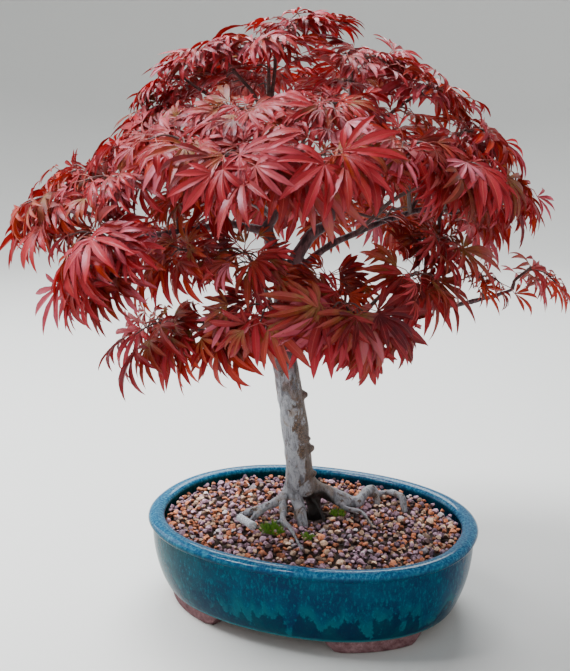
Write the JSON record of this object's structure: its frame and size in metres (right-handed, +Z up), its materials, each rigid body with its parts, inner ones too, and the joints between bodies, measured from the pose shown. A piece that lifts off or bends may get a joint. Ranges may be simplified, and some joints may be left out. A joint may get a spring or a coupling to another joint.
{
  "type": "bonsai tree in a pot",
  "caption": "Japanese maple bonsai with a spreading red crown and exposed surface roots, in an oval blue glazed pot with feet, topped with lava grit.",
  "frame": {"origin": "on the surface that the pot stands on, under the middle of the crown's outline; the pot's centre is 17 mm along +X and 4 mm along +Y from it", "axes": "+Z up; X along the oval pot's long side; -Y is the side that the tree shows to the viewer"},
  "size_m": [0.459, 0.4113, 0.5215],
  "materials": {
    "blue_glaze": "gloss",
    "black_plastic_mesh": "matte",
    "aluminium_wire": "satin",
    "pumice": "matte",
    "bonsai_soil": "matte",
    "lava_grit": "matte",
    "maple_bark": "matte",
    "cut_root": "matte",
    "moss": "matte",
    "red_maple_leaf": "satin"
  },
  "bodies": {
    "root": {"cut_root_stub": "cut_root", "drainage_layer": "pumice", "drainage_screen_left": "black_plastic_mesh", "drainage_screen_right": "black_plastic_mesh", "grit_dressing": "lava_grit", "leaves_back_centre": "red_maple_leaf", "leaves_back_left": "red_maple_leaf", "leaves_back_low": "red_maple_leaf", "leaves_back_low_left": "red_maple_leaf", "leaves_back_low_right": "red_maple_leaf", "leaves_back_right": "red_maple_leaf", "leaves_centre_low": "red_maple_leaf", "leaves_front_centre": "red_maple_leaf", "leaves_front_left": "red_maple_leaf", "leaves_front_right": "red_maple_leaf", "leaves_front_right_edge": "red_maple_leaf", "leaves_left_back": "red_maple_leaf", "leaves_left_front": "red_maple_leaf", "leaves_left_inner": "red_maple_leaf", "leaves_left_inner_low": "red_maple_leaf", "leaves_left_low": "red_maple_leaf", "leaves_left_shoulder": "red_maple_leaf", "leaves_left_tip": "red_maple_leaf", "leaves_low_front": "red_maple_leaf", "leaves_low_left": "red_maple_leaf", "leaves_low_left_inner": "red_maple_leaf", "leaves_low_right_drop": "red_maple_leaf", "leaves_low_right_edge": "red_maple_leaf", "leaves_low_right_front": "red_maple_leaf", "leaves_low_right_inner": "red_maple_leaf", "leaves_right_back": "red_maple_leaf", "leaves_right_back_low": "red_maple_leaf", "leaves_right_low": "red_maple_leaf", "leaves_right_middle": "red_maple_leaf", "leaves_right_shoulder": "red_maple_leaf", "leaves_right_tip": "red_maple_leaf", "leaves_sprig_near": "red_maple_leaf", "leaves_sprig_tip": "red_maple_leaf", "leaves_top_back_left": "red_maple_leaf", "leaves_top_back_right": "red_maple_leaf", "leaves_top_centre": "red_maple_leaf", "leaves_top_front": "red_maple_leaf", "leaves_top_left": "red_maple_leaf", "leaves_top_right": "red_maple_leaf", "leaves_upper_front_left": "red_maple_leaf", "leaves_upper_front_right": "red_maple_leaf", "leaves_upper_left": "red_maple_leaf", "leaves_upper_left_back": "red_maple_leaf", "leaves_upper_left_edge": "red_maple_leaf", "leaves_upper_left_tip": "red_maple_leaf", "leaves_upper_right": "red_maple_leaf", "leaves_upper_right_edge": "red_maple_leaf", "moss_clump_front": "moss", "moss_clump_left": "moss", "moss_clump_right": "moss", "pot": "blue_glaze", "screen_clip_left": "aluminium_wire", "screen_clip_right": "aluminium_wire", "soil_mix": "bonsai_soil", "trunk_and_branches": "maple_bark"}
  },
  "joints": []
}
